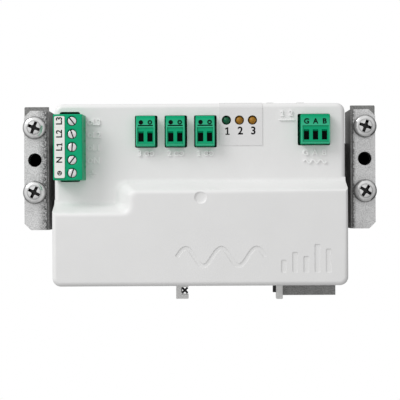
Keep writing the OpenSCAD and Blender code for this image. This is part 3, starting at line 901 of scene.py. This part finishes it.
# ---------------------------------------------------------------- screws, lamps and label
def slotted_screw(name, node, axis, spin, slot):
    """A cheese-head screw in the node's place, its head facing -Y or +Z."""
    low, high = box_mm(node)
    k = 1 if axis == "y" else 2
    centre = middle(node)
    centre[k] = 0
    sign = 1 if axis == "y" else -1
    head = low[k] if axis == "y" else high[k]
    tail = high[k] if axis == "y" else low[k]
    r = (high[0] - low[0]) / 2
    shank = r * 0.78 if axis == "y" else r * 0.69
    drop = 1.1
    profile = [(0, head), (r - 0.22, head), (r - 0.06, head + sign * 0.08), (r, head + sign * 0.25),
               (r, head + sign * drop), (shank, head + sign * drop)]
    turns = 5
    for i in range(turns * 2):
        level = head + sign * (drop + 0.2) + (tail - head - sign * (drop + 0.5)) * i / (turns * 2 - 1)
        profile.append((shank if i % 2 == 0 else shank - 0.18, level))
    profile += [(shank - 0.3, tail), (0, tail)]
    screw = lathe(name, profile, centre, axis, steps=36)
    width, depth = slot
    lo = [centre[0] - r - 1, head - 1, centre[2] - width / 2] if axis == "y" else \
        [centre[0] - r - 1, centre[1] - width / 2, head - depth]
    hi = [centre[0] + r + 1, head + depth, centre[2] + width / 2] if axis == "y" else \
        [centre[0] + r + 1, centre[1] + width / 2, head + 1]
    cutter = box("slot", lo, hi)
    rotated(cutter, spin, axis.upper(), centre)
    return cut(screw, cutter)


def make_pan_head(x, z, spin):
    """A domed head with a tapered cross recess; its shank runs through to the nut."""
    low, high = box_mm("bracket_screws")
    seat, r = SCREW_SEAT, SCREW_R
    crown, rim = 0.55, 1.15
    dome = [(0, low[1])]
    for i in range(1, 7):
        dome.append(((r - rim) * i / 6, low[1] + crown * (i / 6) ** 2))
    for i in range(1, 9):
        a = math.radians(18 + 72 * i / 8)
        out = rim * math.sin(a) * (1 - 0.31 * (1 - i / 8))
        dome.append((r - rim + out, low[1] + crown + 1.35 * (1 - math.cos(a))))
    dome += [(r, seat - 0.1), (r - 0.08, seat), (2.5, seat)]
    turns = 8
    for i in range(turns * 2):
        dome.append((2.5 if i % 2 == 0 else 2.2, 4.2 + (high[1] - 4.6) * i / (turns * 2 - 1)))
    dome += [(2.0, high[1]), (0, high[1])]
    screw = lathe("pan_head", dome, (x, 0, z), steps=56)
    for turn in (0, 90):
        rings = []
        for level, long, wide in ((-0.5, 2.85, 0.68), (2.1, 1.7, 0.42)):
            rings.append([(x + u * long, low[1] + level, z + v * wide)
                          for u, v in ((-1, -1), (1, -1), (1, 1), (-1, 1))])
        cutter = loft("cross", rings)
        rotated(cutter, turn + spin, "Y", (x, 0, z))
        cut(screw, cutter)
    pit = lathe("pit", [(1.25, low[1] - 0.5), (0.5, low[1] + 2.3)], (x, 0, z), steps=20)
    return cut(screw, rotated(pit, spin, "Y", (x, 0, z)))


def make_label():
    """A thin film with round lamp windows; its upper end folds over the top edge."""
    x0, x1 = LABEL_LOW[0], LABEL_HIGH[0]
    face, t = LABEL_LOW[1], 0.22
    edge_r = 2.0
    centre_y, centre_z = UPPER_Y + edge_r, TOP_Z - edge_r
    paths = []
    for lift in (t, 0):
        fold = [(centre_y - (edge_r + lift) * math.cos(math.radians(a)),
                 centre_z + (edge_r + lift) * math.sin(math.radians(a))) for a in range(0, 91, 10)]
        paths.append([(UPPER_Y - lift, LABEL_LOW[2])] + fold + [(UPPER_Y + 6, TOP_Z + lift)])
    outline = paths[0] + paths[1][::-1]
    film = loft("film", [[(x, y, z) for y, z in outline] for x in (x0, x1)])
    clean(film, 0.05)
    for x in LED_X:
        cut(film, lathe("window", [(1.83, face - 1), (1.83, UPPER_Y + 1)], (x, 0, LED_Z), steps=40))
    return film


def make_lamp(number):
    low, high = box_mm(f"led_{number}")
    x, z = LED_X[number - 1], LED_Z
    tip, r = low[1], 1.5
    profile = [(0, tip)]
    for i in range(1, 7):
        a = math.radians(15 * i)
        profile.append((r * math.sin(a), tip + r * (1 - math.cos(a))))
    profile += [(r, -11.5), (1.9, -11.5), (1.9, -10.5), (0, -10.5)]
    lamp = lathe("lens", profile, (x, 0, z), steps=36)
    legs = [box("leg", (x + s * 1.27 - 0.25, -10.5, z - 0.25), (x + s * 1.27 + 0.25, high[1], z + 0.25))
            for s in (-1, 1)]
    return merge(f"lamp_{number}", [lamp] + legs)


cut_front_motif()
place(cover, "housing", "white_housing", "front_cover", sharp=35)
place(make_cover_marks(), "housing", "white_housing", look="relief_white_highlight", sharp=30)
place(make_label(), "housing", "label_film", "led_label", sharp=30)
number_y = LABEL_LOW[1] + 0.04
digits = merge("lamp_numbers", [figure_one("print", LED_X[0] + 0.4, 10.55, number_y, 2.95, 0.03)]
               + [raised_text("print", text, x + 0.35, 10.55, number_y, 2.95, 0.03, bolder=0.11)
                  for text, x in zip("23", LED_X[1:])])
place(digits, "housing", "label_film", look="ink_and_shade_black")
for i, slot in ((1, "led_green"), (2, "led_amber"), (3, "led_amber")):
    place(make_lamp(i), "housing", slot, f"led_{i}", sharp=50)

plug = make_mains_plug()
plug.name = "mains_plug_shell"
place(plug, "mains_plug", "terminal_green", "mains_plug", sharp=30)
place(make_marker_strip(), "mains_plug", "marker_white", "marker_strip", sharp=30)
place(make_marker_text(), "mains_plug", "marker_white", look="ink_and_shade_black")
for i, spin in enumerate((18, 38, 4, -20, -38)):
    node = f"mains_screw_{i + 1}"
    screw = slotted_screw(f"mains_screw_head_{i + 1}", node, "y", 90 + spin, (0.5, 0.85))
    place(screw, node, "screw_zinc", node, look="slotted_zinc_shaded", sharp=35)

for node in (*CT_PLUGS, "data_plug"):
    plug = make_signal_plug(node)
    plug.name = node + "_shell"
    place(plug, node, "terminal_green", node, look="signal_green_painted_highlight", sharp=30)
    marks = make_data_letters() if node == "data_plug" else make_polarity_marks(node)
    place(marks, node, "terminal_green", look="ink_and_shade_black")
for node in CT_SCREWS + DATA_SCREWS:
    spin = 25 * int(node[-1]) + 10
    place(slotted_screw(node + "_head", node, "z", spin, (0.45, 0.5)), node, "screw_zinc", node, sharp=35)

heads = [make_pan_head(side * SCREW_X, level * SCREW_Z, spin)
         for side, level, spin in ((-1, 1, 22), (-1, -1, 28), (1, 1, 20), (1, -1, 33))]
place(merge("pan_head_screws", heads), "housing", "screw_zinc", "bracket_screws", look="cross_zinc_shaded", sharp=35)


# ---------------------------------------------------------------- CAD parts that keep their shape
BEVELS = {
    "rear_base": 0.5, "rail_latch_left": 0.35, "rail_latch_right": 0.35, "latch_tongue_left": 0.25,
    "latch_tongue_right": 0.25, "mounting_plate": 0.18, "clamp_strip_left": 0.2, "clamp_strip_right": 0.2,
    "bracket_nuts": 0.3, "circuit_board": 0.06, "board_components": 0.35, "power_transformer": 0.5,
    "mains_header": 0.15, **{f"ct_header_{i}": 0.12 for i in (1, 2, 3)}, "data_header": 0.12,
    "header_pins": 0.12, "termination_switch": 0.15, "switch_lever_1": 0.15, "switch_lever_2": 0.15,
    "board_screws": 0.1, "case_screws": 0.1, **{f"ct_clamps_{i}": 0.08 for i in (1, 2, 3)},
    "data_clamps": 0.08, **{f"mains_clamp_{i}": 0.12 for i in range(1, 6)},
}
SLOT_OF = {part["node"]: part["material_slot"] for part in frame["record"]["subparts"]}


def dress(node, width):
    """Gives a CAD part its material and small rounded edges."""
    obj = nodes[node]
    weld = obj.modifiers.new("weld", "WELD")
    weld.merge_threshold = 0.004 * MM
    flat = obj.modifiers.new("flat", "DECIMATE")
    flat.decimate_type = "DISSOLVE"
    flat.angle_limit = math.radians(1)
    if width:
        edge = obj.modifiers.new("edge", "BEVEL")
        edge.width = width * MM
        edge.segments = 3
        edge.limit_method = "ANGLE"
        edge.angle_limit = math.radians(40)
        edge.harden_normals = False
    even = obj.modifiers.new("even", "WEIGHTED_NORMAL")
    even.keep_sharp = True
    for face in obj.data.polygons:
        face.use_smooth = True
    obj.data.set_sharp_from_angle(angle=math.radians(35))
    for index in range(len(obj.material_slots)):
        obj.material_slots[index].material = MATERIALS.get(node, MATERIALS[SLOT_OF[node]])


for node, width in BEVELS.items():
    dress(node, width)


# ---------------------------------------------------------------- latch springs
SPRING_WIRE, SPRING_TURNS, SPRING_SIDES, SPRING_STEPS = 0.2, 6, 10, 32


def make_spring(node):
    """The two coils of one latch; they stand on the base."""
    low, high = box_mm(node)
    coil_r = (high[1] - low[1]) / 2 - SPRING_WIRE - 0.03
    bottom, tall = low[2] + SPRING_WIRE + 0.02, high[2] - low[2] - 2 * SPRING_WIRE - 0.04
    count = SPRING_TURNS * SPRING_STEPS
    coils = []
    for x in (low[0] + coil_r + SPRING_WIRE + 0.03, high[0] - coil_r - SPRING_WIRE - 0.03):
        rings = []
        for i in range(count + 1):
            a = 2 * math.pi * i / SPRING_STEPS
            ring_points = []
            for k in range(SPRING_SIDES):
                b = 2 * math.pi * k / SPRING_SIDES
                r = coil_r + SPRING_WIRE * math.cos(b)
                ring_points.append((x + r * math.cos(a), (low[1] + high[1]) / 2 + r * math.sin(a),
                                    bottom + tall * i / count + SPRING_WIRE * math.sin(b)))
            rings.append(ring_points)
        coils.append(loft("coil", rings))
    return merge(node + "_coils", coils)


for side in ("left", "right"):
    node = "latch_springs_" + side
    spring = place(make_spring(node), "housing", "spring_steel", node, sharp=60)
    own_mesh(spring)


# ---------------------------------------------------------------- camera, light and floor
def aim(obj, target):
    obj.rotation_euler = (Vector(target) - obj.location).to_track_quat("-Z", "Y").to_euler()


CAMERA_PLACE = (0, -507 * MM, -16.4 * MM)
CAMERA_ROLL = 0.3
FLOOR_HALF, FLOOR_Z = 0.9, -1.1
HOLE_SHADE_Y, HOLE_SHADE_R, HOLE_SHADE_T = 4.3, 3.6, 0.2      # in mm, like every disc

camera_data = bpy.data.cameras.new("camera")
camera_data.lens = 112.5
camera_data.sensor_width = 36
camera_data.clip_start = 0.01
camera = keep(bpy.data.objects.new("camera", camera_data))
camera.location = CAMERA_PLACE
camera.rotation_euler = (math.radians(90), math.radians(CAMERA_ROLL), 0)
bpy.context.scene.camera = camera


def area_light(name, location, target, size, power):
    data = bpy.data.lights.new(name, "AREA")
    data.shape = "DISK"
    data.size = size
    data.energy = power
    light = keep(bpy.data.objects.new(name, data))
    light.location = location
    aim(light, target)
    return light


CENTRE = (0, 0, -0.015)
KEY_PLACE = (-0.42, -0.31, 0.40)
area_light("key", KEY_PLACE, CENTRE, 0.34, 1.8)


def make_world():
    """White behind the object; the light it gives falls off away from the upper left front."""
    world = bpy.data.worlds.new("world")
    bpy.context.scene.world = world
    world.use_nodes = True
    tree = world.node_tree
    tree.nodes.clear()
    out = tree.nodes.new("ShaderNodeOutputWorld")
    mix = tree.nodes.new("ShaderNodeMixShader")
    path = tree.nodes.new("ShaderNodeLightPath")
    seen, lit = (tree.nodes.new("ShaderNodeBackground") for _ in range(2))
    for background in (seen, lit):
        background.inputs["Color"].default_value = (1, 1, 1, 1)
    direction = tree.nodes.new("ShaderNodeTexCoord")
    toward = tree.nodes.new("ShaderNodeVectorMath")
    toward.operation = "DOT_PRODUCT"
    toward.inputs[1].default_value = (-0.42, -0.64, 0.64)
    level = tree.nodes.new("ShaderNodeMath")
    level.operation = "MULTIPLY_ADD"
    level.inputs[1].default_value = 0.47
    level.inputs[2].default_value = 0.5
    link = tree.links.new
    link(direction.outputs["Generated"], toward.inputs[0])
    link(toward.outputs["Value"], level.inputs[0])
    link(level.outputs[0], lit.inputs["Strength"])
    link(path.outputs["Is Camera Ray"], mix.inputs[0])
    link(lit.outputs[0], mix.inputs[1])
    link(seen.outputs[0], mix.inputs[2])
    link(mix.outputs[0], out.inputs["Surface"])


make_world()
bpy.context.scene.view_settings.view_transform = "Standard"


def make_floor():
    half, z = FLOOR_HALF, FLOOR_Z
    bm = bmesh.new()
    bm.faces.new([bm.verts.new((x * half, y * half, z)) for x, y in ((-1, -1), (1, -1), (1, 1), (-1, 1))])
    floor = from_bmesh("floor", bm)
    m = Nodes("floor_pale")
    m.base(m.ramp(m.noise(3, 2), 0.62, 0.66))
    m.rough(m.ramp(m.noise(5, 2), 0.8, 0.9))
    floor.data.materials.append(m.material)


def make_hole_shade_discs():
    """Black discs behind the two mounting holes: painted shade, so that the holes look black."""
    dark = Nodes("hole_shade_black", Specular_IOR_Level=0.0)
    dark.base(dark.ramp(dark.noise(900, 2), 0.0, 0.004))
    dark.rough(dark.ramp(dark.noise(500, 2), 0.9, 1.0))
    for side in (-1, 1):
        card = disc("hole_shade_disc", side * SCREW_X, 0, HOLE_SHADE_Y, HOLE_SHADE_R, HOLE_SHADE_T)
        card.data.materials.append(dark.material)


make_floor()
make_hole_shade_discs()
